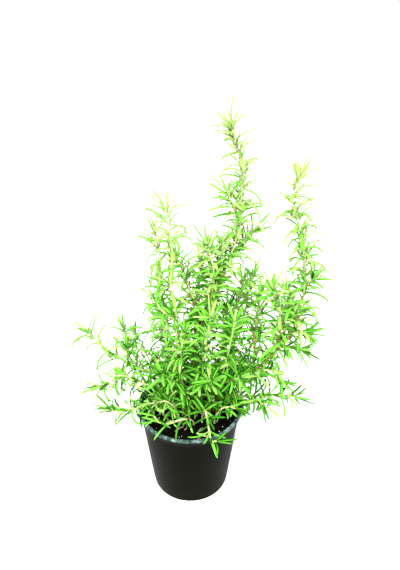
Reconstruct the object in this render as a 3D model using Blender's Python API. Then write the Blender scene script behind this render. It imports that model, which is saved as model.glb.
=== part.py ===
"""A rosemary plant in a 12 cm plastic nursery pot.

The origin is the centre of the pot's underside, +Z is up and the plant's front faces -Y.
Lengths are in metres; points along the stems are written in millimetres and scaled by MM.
"""

import math
import random

import bmesh
import bpy
import numpy as np
from mathutils import Quaternion, Vector
from mathutils.geometry import interpolate_bezier

MM = 0.001
GAP = 0.3 * MM  # left between pieces that touch

# The pot
POT_HEIGHT = 110 * MM
RIM_RADIUS = 60 * MM  # outside of the rolled lip
BASE_RADIUS = 45 * MM
WALL = 1.2 * MM
FLOOR = 1.6 * MM
LIP_WIDTH = 2.6 * MM
LIP_HEIGHT = 3.4 * MM
ROUND_SIDES = 36
HOLE_COUNT = 6
HOLE_RADIUS = 5 * MM
HOLE_CIRCLE = 33 * MM  # the middle of the base stays whole

# The soil
SOIL_DEPTH_BELOW_RIM = 14 * MM
SOIL_CROWN = 2 * MM  # the soil is this much higher in the middle
PLANTING_DEPTH = 12 * MM

# The plant
LEAF_SPACING = 31.5 * MM  # between pairs along a stem
LEAF_BASE = 1.3 * MM  # height of a leaf's foot on its stem
LEAF_THICKNESS = 0.9 * MM
LEAF_MIDDLE = 0.45  # where along its length a leaf is widest
CLEARANCE = 0.8 * MM  # between leaves and whatever is near them
BOW = 0.7 * MM  # how far a stem's straight stretches may lie off its smooth centre line
SAMPLE_STEP = 1.5 * MM
ROOT_COLLAR = 3 * MM  # a stem leaves the soil straight up for this far
BARE_STEP = 18 * MM  # between cross-sections of a stem where it has no leaves
LEAF_TRIES = 14

SOIL_TOP = POT_HEIGHT - SOIL_DEPTH_BELOW_RIM
WALL_TOP_RADIUS = RIM_RADIUS - LIP_WIDTH
SLOPE = (WALL_TOP_RADIUS - BASE_RADIUS) / POT_HEIGHT

# How leaves sit on each kind of stem: degrees from the stem at its foot and at its tip,
# degrees that a leaf bends down along its length, and the leaf's length and width in mm.
HABITS = {
    "upright": {"angle": (74, 24), "bend": (22, 4), "length": (24, 22), "width": 2.4},
    "hooked": {"angle": (78, 34), "bend": (70, 26), "length": (20, 19), "width": 2.1},
    "broad": {"angle": (82, 40), "bend": (30, 14), "length": (27, 23), "width": 3.2},
}

# Each rooted stem: its habit, the width of its foot, its bare length, and its shoots. The first
# shoot rises from the soil; the others branch off it near their first point.
STEMS = {
    "centre_leader": ("upright", 3.6, 60, [
        [(2, 12), (3, 12, 130), (8, 14, 188), (14, 14, 208), (23, 12, 248), (38, 8, 284),
         (47, 4, 316), (50, 2, 345), (48, 0, 390), (38, -4, 424)],
        [(11, 14, 200), (2, 22, 240), (-5, 25, 268), (-14, 25, 288)],
        [(15, 14, 214), (23, 0, 252), (25, -6, 286), (18, -8, 314)],
        [(26, 12, 256), (32, 4, 282), (33, -2, 312)],
        [(40, 7, 290), (53, 10, 306), (64, 12, 320)],
        [(49, 2, 338), (42, -6, 352), (37, -8, 364)],
    ]),
    "left_leader": ("upright", 3.2, 45, [
        [(-8, -4), (-10, -5, 135), (-14, -8, 185), (-12, -10, 228), (-17, -12, 267),
         (-15, -14, 303), (-17, -16, 334), (-19, -16, 352)],
        [(-12, -10, 226), (-26, -18, 246), (-34, -22, 262)],
    ]),
    "left_back_stem": ("upright", 2.8, 45, [
        [(-16, 10), (-20, 12, 150), (-27, 14, 202), (-31, 16, 251), (-29, 16, 286),
         (-33, 14, 316)],
    ]),
    "right_leader": ("upright", 3.6, 55, [
        [(27, 4), (34, 5, 118), (52, 3, 142), (75, 0, 161), (97, 0, 188), (110, 0, 208),
         (117, 2, 230), (118, 4, 263), (115, 6, 299), (107, 8, 330), (100, 8, 352),
         (104, 8, 375)],
        [(72, 1, 158), (71, 8, 196), (74, 10, 224), (74, 10, 250)],
        [(93, 0, 183), (96, -8, 222), (90, -12, 248), (84, -14, 268)],
        [(112, 1, 214), (107, -7, 244), (97, -11, 265)],
        [(106, 0, 202), (117, -5, 212), (125, -10, 213)],
        [(99, 0, 191), (110, -9, 195), (118, -13, 195)],
        [(118, 3, 258), (125, -2, 274)],
    ]),
    "mid_right_stem": ("upright", 2.8, 50, [
        [(20, 22), (25, 25, 112), (38, 30, 142), (53, 35, 176), (62, 38, 211), (65, 38, 234),
         (70, 36, 259)],
        [(47, 33, 162), (40, 30, 196), (42, 28, 226)],
    ]),
    "long_left_stem": ("hooked", 2.6, 48, [
        [(-8, 4), (-10, 5, 116), (-19, 7, 136), (-36, 8, 148), (-59, 6, 158), (-80, 2, 175),
         (-95, -2, 192), (-108, -4, 212)],
        [(-56, 6, 157), (-64, -2, 176), (-66, -6, 192)],
    ]),
    "upper_left_stem": ("hooked", 2.4, 48, [
        [(-5, 20), (-9, 21, 125), (-29, 25, 148), (-51, 26, 163), (-67, 24, 176), (-73, 22, 198)],
    ]),
    "middle_left_stem": ("hooked", 2.4, 40, [
        [(-21, -6), (-24, -7, 120), (-42, -8, 140), (-60, -12, 153), (-74, -16, 163),
         (-88, -22, 158), (-96, -26, 157)],
    ]),
    "low_left_stem": ("hooked", 2.8, 36, [
        [(-14, -16), (-16, -18, 118), (-26, -24, 134), (-42, -28, 135), (-60, -30, 129),
         (-76, -32, 127), (-86, -34, 133)],
    ]),
    "front_left_stem": ("broad", 2.6, 20, [
        [(4, -20), (0, -24, 108), (-10, -33, 116), (-22, -41, 118), (-32, -45, 124),
         (-38, -45, 134)],
    ]),
    "front_trailer": ("broad", 2.6, 20, [
        [(14, -16), (15, -19, 112), (17, -27, 124), (19, -39, 125), (21, -53, 120),
         (24, -65, 117), (30, -70, 121)],
    ]),
    "front_right_stem": ("broad", 2.4, 16, [
        [(28, -16), (31, -19, 112), (37, -25, 126), (45, -33, 134), (50, -38, 136)],
    ]),
    "low_right_stem": ("broad", 2.6, 30, [
        [(34, -6), (40, -8, 116), (56, -11, 130), (80, -15, 134), (102, -18, 138),
         (116, -20, 137)],
        [(66, -13, 132), (74, -24, 137), (81, -32, 135)],
    ]),
    "arching_right_stem": ("broad", 2.6, 50, [
        [(35, 14), (40, 13, 118), (50, 8, 152), (60, 1, 167), (70, -7, 163), (80, -13, 168),
         (91, -18, 171), (99, -22, 159)],
    ]),
    "inner_left_stem": ("broad", 2.6, 30, [
        [(-4, -10), (-5, -12, 130), (-9, -18, 168), (-8, -22, 200), (-4, -24, 226)],
        [(-8, -16, 158), (-22, -28, 172), (-29, -36, 182)],
    ]),
    "inner_front_stem": ("broad", 2.8, 30, [
        [(8, -6), (9, -9, 130), (13, -16, 172), (18, -20, 208), (22, -22, 242)],
        [(11, -13, 154), (20, -30, 166), (24, -40, 176)],
    ]),
    "inner_right_stem": ("broad", 2.6, 30, [
        [(22, -6), (27, -8, 126), (37, -10, 166), (43, -12, 200), (47, -14, 232)],
        [(32, -9, 148), (46, -22, 162), (54, -30, 172)],
        [(38, -10, 172), (52, -17, 182), (65, -23, 179), (73, -27, 170)],
    ]),
    "back_left_stem": ("upright", 2.8, 40, [
        [(-16, 26), (-20, 33, 130), (-29, 42, 174), (-34, 47, 214), (-35, 48, 246)],
    ]),
    "back_right_stem": ("upright", 2.8, 40, [
        [(22, 34), (32, 42, 130), (46, 52, 174), (56, 58, 210), (60, 58, 240)],
    ]),
    "back_upright_stem": ("upright", 3.0, 40, [
        [(4, 32), (4, 42, 135), (7, 52, 184), (10, 57, 230), (12, 57, 266)],
    ]),
    "low_back_left_stem": ("hooked", 2.4, 34, [
        [(-28, 18), (-36, 27, 124), (-52, 42, 148), (-66, 54, 172)],
    ]),
    "low_back_right_stem": ("hooked", 2.4, 34, [
        [(38, 26), (48, 34, 126), (68, 46, 150), (84, 56, 174)],
    ]),
    "back_trailer": ("hooked", 2.4, 24, [
        [(4, 46), (3, 54, 116), (-1, 72, 130), (-5, 92, 132)],
    ]),
}


def material(name, colour, roughness, metallic=0.0):
    """A Principled BSDF material of one colour."""
    made = bpy.data.materials.new(name)
    made.use_nodes = True
    shader = made.node_tree.nodes["Principled BSDF"]
    shader.inputs["Base Color"].default_value = (*colour, 1)
    shader.inputs["Roughness"].default_value = roughness
    shader.inputs["Metallic"].default_value = metallic
    made.diffuse_color = (*colour, 1)
    return made


def object_of(name, bm, finish, smooth_angle=None):
    """A named object made from the bmesh, which is freed."""
    mesh = bpy.data.meshes.new(name)
    bm.to_mesh(mesh)
    bm.free()
    if smooth_angle is not None:
        mesh.shade_smooth()
        mesh.set_sharp_from_angle(angle=smooth_angle)
    mesh.materials.append(finish)
    made = bpy.data.objects.new(name, mesh)
    bpy.context.scene.collection.objects.link(made)
    return made


def turned(name, profile, finish):
    """A solid turned about Z from an outline of (radius, height) whose ends lie on the axis."""
    bm = bmesh.new()
    outline = [bm.verts.new((radius, 0, height)) for radius, height in profile]
    edges = [bm.edges.new(pair) for pair in zip(outline, outline[1:])]
    bmesh.ops.spin(
        bm, geom=outline + edges, cent=(0, 0, 0), axis=(0, 0, 1),
        angle=2 * math.pi, steps=ROUND_SIDES, use_merge=True,
    )
    bmesh.ops.remove_doubles(bm, verts=bm.verts, dist=1e-6)
    bmesh.ops.recalc_face_normals(bm, faces=bm.faces)
    return object_of(name, bm, finish, smooth_angle=math.radians(40))


def cut(target, cutter):
    """Subtracts the cutter from the target, and keeps the cutter as a guide only."""
    cutter.hide_render = True
    cutter.display_type = "WIRE"
    boolean = target.modifiers.new("cut", "BOOLEAN")
    boolean.operation = "DIFFERENCE"
    boolean.solver = "EXACT"
    boolean.object = cutter


def wall_radius(height):
    """The pot's outside radius at a height."""
    return BASE_RADIUS + SLOPE * height


def make_pot(finish):
    """The tapered pot with its rolled lip and drainage holes."""
    lip_foot = POT_HEIGHT - LIP_HEIGHT
    edge = 2 * MM  # rounding where the wall meets the base
    profile = [
        (0, 0),
        (BASE_RADIUS - edge, 0),
        (BASE_RADIUS, edge),
        (wall_radius(lip_foot), lip_foot),
        (RIM_RADIUS, lip_foot + 0.5 * MM),
        (RIM_RADIUS, POT_HEIGHT - 0.8 * MM),
        (RIM_RADIUS - 0.9 * MM, POT_HEIGHT),
        (WALL_TOP_RADIUS - 0.3 * MM, POT_HEIGHT),
        (WALL_TOP_RADIUS - WALL, POT_HEIGHT - WALL),
        (wall_radius(FLOOR) - WALL, FLOOR + edge),
        (wall_radius(0) - WALL - edge, FLOOR),
        (0, FLOOR),
    ]
    pot = turned("pot", profile, finish)
    bm = bmesh.new()
    for index in range(HOLE_COUNT):
        angle = 2 * math.pi * (index + 0.5) / HOLE_COUNT
        hole = bmesh.ops.create_cone(
            bm, cap_ends=True, segments=8, radius1=HOLE_RADIUS, radius2=HOLE_RADIUS,
            depth=6 * FLOOR,
        )
        centre = (HOLE_CIRCLE * math.cos(angle), HOLE_CIRCLE * math.sin(angle), FLOOR / 2)
        bmesh.ops.translate(bm, verts=hole["verts"], vec=centre)
    cut(pot, object_of("drainage_cutter", bm, finish))


def make_soil(finish):
    """The potting soil that fills the pot, with a socket for the foot of each stem."""
    inside = WALL + GAP
    bottom = FLOOR + GAP
    edge = 2 * MM
    profile = [
        (0, bottom),
        (wall_radius(0) - inside - edge, bottom),
        (wall_radius(FLOOR) - inside, bottom + edge),
        (wall_radius(SOIL_TOP) - inside, SOIL_TOP),
        (RIM_RADIUS * 0.6, SOIL_TOP + SOIL_CROWN * 0.7),
        (0, SOIL_TOP + SOIL_CROWN),
    ]
    soil = turned("soil", profile, finish)
    bm = bmesh.new()
    for _, foot_width, _, shoots in STEMS.values():
        x, y = shoots[0][0]
        side = foot_width * MM + 2 * GAP
        socket = bmesh.ops.create_cube(bm, size=1)["verts"]
        bmesh.ops.scale(bm, verts=socket, vec=(side, side, 2 * (PLANTING_DEPTH + GAP)))
        bmesh.ops.translate(bm, verts=socket, vec=(x * MM, y * MM, SOIL_TOP + SOIL_CROWN))
    cut(soil, object_of("socket_cutter", bm, finish))


class Thicket:
    """The space that stems and leaves already fill, as balls strung along them."""

    def __init__(self):
        self.centres = np.zeros((0, 3))
        self.radii = np.zeros(0)
        self.stems = np.zeros(0, dtype="U40")
        self.shoots = np.zeros(0, dtype="U40")

    def add(self, points, radius, stem, shoot="leaf"):
        self.centres = np.vstack([self.centres, [tuple(point) for point in points]])
        self.radii = np.append(self.radii, [radius] * len(points))
        self.stems = np.append(self.stems, [stem] * len(points))
        self.shoots = np.append(self.shoots, [shoot] * len(points))

    def touches(self, points, radius, stem, shoot):
        """Whether a leaf comes too near anything but the shoot it grows on."""
        own = self.stems == stem
        needed = self.radii + np.where(own, 0.5 * radius, radius + CLEARANCE)
        needed[own & (self.shoots == shoot)] = 0
        for point in points:
            if (np.linalg.norm(self.centres - np.array(point), axis=1) < needed).any():
                return True
        return False


class Shoot:
    """A smooth centre line through a few points, with a square cross-section that tapers."""

    def __init__(self, name, points, foot_half, tip_half, across):
        self.name = name
        self.line = smooth_line(points)
        steps = [(b - a).length for a, b in zip(self.line, self.line[1:])]
        self.along = np.concatenate([[0], np.cumsum(steps)])
        self.length = float(self.along[-1])
        self.foot_half = foot_half
        self.tip_half = tip_half
        self.frames = self.carried_frames(across)

    def carried_frames(self, across):
        """(tangent, across) at each point of the line, turned as little as possible."""
        frames = []
        for before, after in zip(self.line, self.line[1:]):
            tangent = (after - before).normalized()
            across = (across - across.dot(tangent) * tangent).normalized()
            frames.append((tangent, across))
        return frames + frames[-1:]

    def at(self, distance):
        """Centre, tangent, across and half width at this distance from the foot."""
        index = int(np.searchsorted(self.along, distance, side="right")) - 1
        index = min(max(index, 0), len(self.line) - 2)
        span = self.along[index + 1] - self.along[index]
        share = (distance - self.along[index]) / span
        centre = self.line[index].lerp(self.line[index + 1], share)
        tangent, across = self.frames[index]
        taper = min(max(distance / self.length, 0), 1)
        half = self.foot_half + (self.tip_half - self.foot_half) * taper
        return centre, tangent, across, half

    def samples(self):
        count = max(2, int(self.length / SAMPLE_STEP))
        return [self.at(self.length * step / count)[0] for step in range(count + 1)]


def smooth_line(points):
    """Points closely spaced along a smooth curve through the given ones."""
    points = [Vector(point) * MM for point in points]
    slopes = []
    for index in range(len(points)):
        before = points[max(index - 1, 0)]
        after = points[min(index + 1, len(points) - 1)]
        slopes.append((after - before).normalized())
    line = [points[0]]
    for index, (start, end) in enumerate(zip(points, points[1:])):
        reach = (end - start).length / 3
        bend = interpolate_bezier(
            start, start + slopes[index] * reach, end - slopes[index + 1] * reach, end, 9
        )
        line += bend[1:]
    return line


def ring(bm, shoot, distance):
    """Four vertices round the shoot, anticlockwise seen from its tip."""
    centre, tangent, across, half = shoot.at(distance)
    up = tangent.cross(across)
    corners = ((-1, -1), (1, -1), (1, 1), (-1, 1))
    return [bm.verts.new(centre + half * (a * across + b * up)) for a, b in corners]


def side_direction(shoot, distance, side):
    """The outward direction of one of the shoot's four sides."""
    _, tangent, across, _ = shoot.at(distance)
    return Quaternion(tangent, math.radians(90 * side - 90)) @ across


def walls(bm, low, high, left_open=()):
    """Joins two rings with four faces, except the sides left open, whose outlines it returns."""
    openings = {}
    for side in range(4):
        after = (side + 1) % 4
        outline = (low[side], low[after], high[after], high[side])
        if side in left_open:
            openings[side] = outline
        else:
            bm.faces.new(outline)
    return openings


def leaf_path(foot, outward, tangent, angle, bend, length):
    """Foot, middle and tip of a leaf that leaves the stem at an angle and bends down."""
    hinge = tangent.cross(outward).normalized()
    start = Quaternion(hinge, angle) @ tangent
    end = Quaternion(hinge, angle + bend) @ tangent
    middle = foot + start * length * LEAF_MIDDLE
    return middle, middle + end * length * (1 - LEAF_MIDDLE), (start + end).normalized()


def leaf_samples(foot, middle, tip):
    """Points along a leaf, from just off its stem."""
    spots = []
    for share in np.linspace(0.1, 1, 15):
        if share < LEAF_MIDDLE:
            spots.append(foot.lerp(middle, share / LEAF_MIDDLE))
        else:
            spots.append(middle.lerp(tip, (share - LEAF_MIDDLE) / (1 - LEAF_MIDDLE)))
    return spots


def grow_leaf(bm, outline, direction, middle, tip, width):
    """Grows a leaf out of a face's outline: a flat section at its widest, then a point."""
    sideways = (outline[1].co - outline[0].co).normalized()
    sideways = (sideways - sideways.dot(direction) * direction).normalized()
    upper = direction.cross(sideways)
    section = []
    for across, over in ((-1, -1), (1, -1), (1, 1), (-1, 1)):
        spot = middle + sideways * across * width / 2 + upper * over * LEAF_THICKNESS / 2
        section.append(bm.verts.new(spot))
    walls(bm, outline, section)
    end = bm.verts.new(tip)
    for side in range(4):
        bm.faces.new((section[side], section[(side + 1) % 4], end))


def plan_leaf(name, shoot, distance, side, thicket, dice):
    """A leaf's middle, tip, direction and width where it touches nothing, or None."""
    habit = HABITS[STEMS[name][0]]
    centre, tangent, _, half = shoot.at(distance)
    outward = side_direction(shoot, distance, side)
    foot = centre + outward * half
    share = distance / shoot.length
    angle = habit["angle"][0] + (habit["angle"][1] - habit["angle"][0]) * share
    bend = habit["bend"][0] + (habit["bend"][1] - habit["bend"][0]) * share
    length = habit["length"][0] + (habit["length"][1] - habit["length"][0]) * share
    width = habit["width"] * MM
    for attempt in range(LEAF_TRIES):
        spread = 6 + 2.5 * attempt
        swing = Quaternion(tangent, math.radians(dice.uniform(-spread, spread)))
        middle, tip, direction = leaf_path(
            foot, swing @ outward, tangent, math.radians(angle + dice.uniform(-spread, spread)),
            math.radians(bend * dice.uniform(0.6, 1.3)),
            length * MM * dice.uniform(0.8, 1.12) * (1 - 0.02 * attempt),
        )
        samples = leaf_samples(foot, middle, tip)
        blocked = thicket.touches(samples, width / 2, name, shoot.name)
        if clear_of_pot(samples) and not blocked:
            thicket.add(samples, width / 2, name)
            return middle, tip, direction, width
    return None


def clear_of_pot(points):
    """Whether points stay out of the soil and of the pot's wall and lip."""
    for point in points:
        radius = math.hypot(point.x, point.y)
        inside = radius < WALL_TOP_RADIUS - WALL - 3 * MM
        floor = SOIL_TOP + SOIL_CROWN + 2 * MM if inside else POT_HEIGHT + 2 * MM
        outside = radius > RIM_RADIUS + 2.5 * MM
        if point.z < floor and not outside:
            return False
    return True


def branch_spot(main, point):
    """How far along the main shoot a branch leaves it."""
    target = Vector(point) * MM
    nearest = min(range(len(main.line)), key=lambda index: (main.line[index] - target).length)
    return float(main.along[nearest])


def shoots_of(name):
    """The main shoot of a stem, and its branches with the place where each leaves it."""
    _, foot_width, _, courses = STEMS[name]
    half = foot_width * MM / 2
    x, y = courses[0][0]
    deep = (SOIL_TOP + SOIL_CROWN - PLANTING_DEPTH) / MM
    collar = (SOIL_TOP + SOIL_CROWN + ROOT_COLLAR) / MM
    rooted = [(x, y, deep), (x, y, collar - 8), (x, y, collar), *courses[0][1:]]
    main = Shoot("main", rooted, half, 0.8 * MM, Vector((1, 0, 0)))
    branches = []
    for index, course in enumerate(courses[1:]):
        spot = branch_spot(main, course[0])
        centre, _, _, main_half = main.at(spot)
        inside_mm = tuple(centre / MM)
        points = [inside_mm, *course[1:]]
        branch = Shoot(f"branch_{index}", points, main_half * 0.8, 0.7 * MM, Vector((0, 0, 1)))
        branches.append((spot, branch))
    return main, branches


def leaf_spots(shoot, first, spacing):
    """Distances of the leaf pairs along a shoot, the last just under its tip."""
    last = shoot.length - 2 * LEAF_BASE
    count = max(1, round((last - first) / spacing))
    return [first + (last - first) * step / count for step in range(count + 1)]


def bare_spots(shoot, first):
    """Distances of the plain cross-sections below a shoot's first leaves."""
    collar = PLANTING_DEPTH + ROOT_COLLAR
    count = max(1, round((first - collar) / BARE_STEP))
    return [collar + (first - collar) * step / count for step in range(count)]


def grow_shoot(bm, name, start, shoot, spots, branches, thicket, dice):
    """Grows a shoot from its first ring: pairs of leaves turned a quarter from pair to pair."""
    low = start
    joints = [(spot, None) for spot in spots] + [(spot, branch) for spot, branch in branches]
    turn = 0
    for distance, branch in sorted(joints, key=lambda joint: joint[0]):
        foot_height = LEAF_BASE if branch is None else 2 * branch.foot_half
        high = ring(bm, shoot, distance - foot_height / 2)
        walls(bm, low, high)
        low = high
        high = ring(bm, shoot, distance + foot_height / 2)
        if branch is None:
            crowned = distance == spots[-1] and shoot.name == "main"
            sides = (0, 1, 2, 3) if crowned else (turn, turn + 2)
            turn = 1 - turn
            plans = {}
            for side in sides:
                plan = plan_leaf(name, shoot, distance, side, thicket, dice)
                if plan:
                    plans[side] = plan
            for side, outline in walls(bm, low, high, plans).items():
                middle, tip, direction, width = plans[side]
                grow_leaf(bm, outline, direction, middle, tip, width)
        else:
            side = max(range(4), key=lambda k: branch_fit(shoot, distance, k, branch))
            outline = walls(bm, low, high, (side,))[side]
            first = max(9 * MM, shoot.foot_half + 7 * MM)
            branch_spots = leaf_spots(branch, first, LEAF_SPACING)
            aligned = align(branch, outline)
            grow_shoot(bm, name, outline, aligned, branch_spots, [], thicket, dice)
        low = high
    tip = bm.verts.new(shoot.at(shoot.length)[0] + shoot.frames[-1][0] * 6 * MM)
    for side in range(4):
        bm.faces.new((low[side], low[(side + 1) % 4], tip))


def branch_fit(shoot, distance, side, branch):
    """How well one side of the shoot faces the way the branch goes."""
    centre = shoot.at(distance)[0]
    away = branch.at(min(12 * MM, branch.length))[0] - centre
    return side_direction(shoot, distance, side).dot(away)


def align(branch, outline):
    """Turns a branch's cross-section so that its corners meet those of the face it leaves."""
    across = outline[1].co - outline[0].co
    branch.frames = branch.carried_frames(across.normalized())
    return branch


def make_stem(name, main, branches, finish, thicket, dice):
    """One rooted stem with its branches and leaves, grown as a single solid."""
    bare = STEMS[name][2]
    bm = bmesh.new()
    low = ring(bm, main, 0)
    bm.faces.new(reversed(low))
    first = PLANTING_DEPTH + bare * MM
    for spot in bare_spots(main, first):
        high = ring(bm, main, spot)
        walls(bm, low, high)
        low = high
    spots = [
        spot for spot in leaf_spots(main, first, LEAF_SPACING)
        if all(abs(spot - place) > 5 * MM for place, _ in branches)
    ]
    grow_shoot(bm, name, low, main, spots, branches, thicket, dice)
    return object_of(name, bm, finish, smooth_angle=math.radians(35))


def main():
    for item in list(bpy.data.objects):
        bpy.data.objects.remove(item)
    make_pot(material("pot_plastic", (0.02, 0.022, 0.02), 0.42))
    make_soil(material("potting_soil", (0.035, 0.022, 0.014), 0.95))
    foliage = material("rosemary_foliage", (0.20, 0.48, 0.10), 0.55)
    thicket = Thicket()
    grown = {name: shoots_of(name) for name in STEMS}
    for name, (stem, branches) in grown.items():
        for shoot in [stem] + [branch for _, branch in branches]:
            thicket.add(shoot.samples(), shoot.foot_half + BOW, name, shoot.name)
    dice = random.Random(12)
    for name, (stem, branches) in grown.items():
        make_stem(name, stem, branches, foliage, thicket, dice)


main()
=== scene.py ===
"""Looks of the potted rosemary: needles, bark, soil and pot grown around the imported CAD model.

Metres, +Z up, the plant's front faces -Y. Points along the stems are in millimetres, scaled by MM.
"""

import math
import random

import bpy
import numpy as np
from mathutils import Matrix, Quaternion, Vector, noise
from mathutils.geometry import interpolate_bezier


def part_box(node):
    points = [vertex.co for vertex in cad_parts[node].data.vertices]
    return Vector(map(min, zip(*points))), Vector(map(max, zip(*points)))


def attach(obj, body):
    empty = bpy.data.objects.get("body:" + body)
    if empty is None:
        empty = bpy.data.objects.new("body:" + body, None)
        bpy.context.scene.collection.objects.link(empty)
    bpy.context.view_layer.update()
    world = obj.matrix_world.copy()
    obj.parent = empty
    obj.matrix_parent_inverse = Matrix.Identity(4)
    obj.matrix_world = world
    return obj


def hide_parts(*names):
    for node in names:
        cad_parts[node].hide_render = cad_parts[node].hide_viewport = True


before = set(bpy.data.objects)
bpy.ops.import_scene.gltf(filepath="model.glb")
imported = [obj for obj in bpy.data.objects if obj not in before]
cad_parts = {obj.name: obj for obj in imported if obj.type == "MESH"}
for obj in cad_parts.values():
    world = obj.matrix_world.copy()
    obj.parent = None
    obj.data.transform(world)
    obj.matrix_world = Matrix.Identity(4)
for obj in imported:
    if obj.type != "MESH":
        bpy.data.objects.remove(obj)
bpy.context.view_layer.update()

MM = 0.001

# Sizes read from the frame
POT_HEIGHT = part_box("pot")[1].z
RIM_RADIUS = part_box("pot")[1].x
SOIL_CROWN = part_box("soil")[1].z
SOIL_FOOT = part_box("soil")[0].z
SOIL_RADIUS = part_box("soil")[1].x
PLANT_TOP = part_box("centre_leader")[1].z

# The pot's wall, as in the CAD model
BASE_RADIUS = 45 * MM
LIP_WIDTH = 2.6 * MM
LIP_HEIGHT = 3.4 * MM
WALL = 1.2 * MM
FLOOR = 1.6 * MM
HOLE_COUNT = 6
HOLE_RADIUS = 5 * MM
HOLE_CIRCLE = 33 * MM
WALL_TOP_RADIUS = RIM_RADIUS - LIP_WIDTH
FOOT_ROUND = 2 * MM  # radius of the rounding round the pot's foot, outside and inside
BEAD = 1.0 * MM  # radius of the lip's rounded edges
WALL_RINGS = 12  # rings of points up each side of the wall
POT_SIDES = 128
HOLE_SIDES = 24

# The soil
SOIL_EDGE = SOIL_CROWN - 2 * MM  # the soil is lower by the wall
SOIL_REACH = SOIL_RADIUS - 0.4 * MM  # radius of the lumpy top
SOIL_SIDES = 144
SOIL_RINGS = 46
CRUMB_ROWS = 5
CRUMB_COLS = 8
CRUMBS = 420
GRIT = 46
SHED_NEEDLES = 20
CURLS = ((-39, -10), (-6, -30), (12, -40))  # where tightly curled dry needles lie, in millimetres

# Stems
RING = 10  # points round a stem
RING_STEP = 1.6 * MM
NODE_SWELL = 0.14  # how much thicker a stem is where needles sit
LINE_STEP = 1.5 * MM  # between the balls that keep needles off a stem
COLLAR = 3  # a stem leaves the soil straight up for so many millimetres

# Needles
SECTION = (  # a needle's cross-section: shares of half its width across and of its thickness over
    (-1.0, 0.0), (-0.5, 0.45), (0.0, 0.1), (0.5, 0.45), (1.0, 0.0),
    (0.62, -0.5), (0.0, -0.25), (-0.62, -0.5),
)
UPPER_POINTS = 5  # of them are on the upper side
LONG_STATIONS = 9  # points along a needle
SHORT_STATIONS = 6
LONG_NEEDLE = 12 * MM  # longer ones have LONG_STATIONS
THICKNESS = 0.52  # of a needle, as a share of its width
TONES = 12  # shades that needles come in, each a band of the needle's map
SUNK = 0.4 * MM  # how deep a needle's foot sits in its stem
CLEARANCE = 0.15 * MM  # left between needles of different stems
NEEDLE_BALL = 0.40  # radius of the balls that stand for a needle, as a share of its width
LEAF_TRIES = 7  # directions tried for a needle before it is left out
STRAY = 9  # degrees that a needle strays from its due direction at the first try
STRAY_STEP = 5  # and how many more at each later one
CELL = 5 * MM  # of the grid that finds neighbours
NEAR = (-1, 0, 1)  # the cells on either side of a cell, and itself
PLANTING_DEPTH = 12 * MM  # of a stem's foot below the soil's top
BARE_SHARE = 0.6  # how much of a stem's bare length has no needles at all
BRANCH_BARE = 5 * MM  # how much of a branch has none
YOUNG_REACH = 24 * MM  # how far down from a shoot's tip its needles still point up
FRESH_REACH = 110 * MM  # how far down they are still yellow-green
LONG_SHOOT = 160 * MM  # shorter shoots than this have a less yellow tip

# How needles sit on each kind of shoot, far below its tip and at its tip: degrees from the stem,
# degrees that a needle bends back along its length, how far gravity pulls it down, millimetres
# between pairs, the needle's length and width in millimetres, and its tone from 0, yellow-green, to
# 1, dark; then the share of axils that hold a tuft of young needles, and the needles at the tip.
HABITS = {
    "upright": {
        "angle": (68, 40), "bend": (98, 18), "droop": (0.5, 0.0), "gap": (5.4, 4.8),
        "length": (27, 24), "width": (3.2, 3.1), "tone": (0.38, 0.08), "tuft": 0.82, "bunch": 8,
    },
    "hooked": {
        "angle": (62, 34), "bend": (185, 40), "droop": (0.2, 0.0), "gap": (7.4, 6.4),
        "length": (30, 24), "width": (2.8, 2.9), "tone": (0.42, 0.10), "tuft": 0.46, "bunch": 7,
    },
    "curly": {
        "angle": (62, 34), "bend": (160, 50), "droop": (0.3, 0.1), "gap": (4.8, 4.6),
        "length": (29, 24), "width": (3.1, 3.0), "tone": (0.40, 0.16), "tuft": 0.75, "bunch": 7,
    },
    "broad": {
        "angle": (70, 42), "bend": (80, 30), "droop": (1.0, 0.3), "gap": (5.4, 5.6),
        "length": (29, 23), "width": (3.5, 3.2), "tone": (0.50, 0.34), "tuft": 0.70, "bunch": 5,
    },
    "trailing": {
        "angle": (60, 34), "bend": (75, 30), "droop": (0.9, 0.4), "gap": (8.4, 8.4),
        "length": (25, 22), "width": (3.2, 2.9), "tone": (0.48, 0.24), "tuft": 0.28, "bunch": 3,
    },
}
PAINTED_SHADE = 0.55  # painted shade: how much darker a needle's tone is at the bottom of the plant than at its top
PAINTED_SHADE_POWER = 1.6  # above 1, so that most of that comes near the bottom
TONE_SPREAD = (0.12, 0.36)  # how much tones vary from needle to needle, at its top and bottom

# The stage
LENS = 32.46
CAMERA_PLACE = (0.0115, -0.460, 0.510)
CAMERA_TILT = 62  # degrees up from straight down
AMBIENT = 0.38
BACKDROP = 1.05  # how bright the room looks to the camera
KEY_STRENGTH = 13.0
FLOOR_REACH = 30

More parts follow.
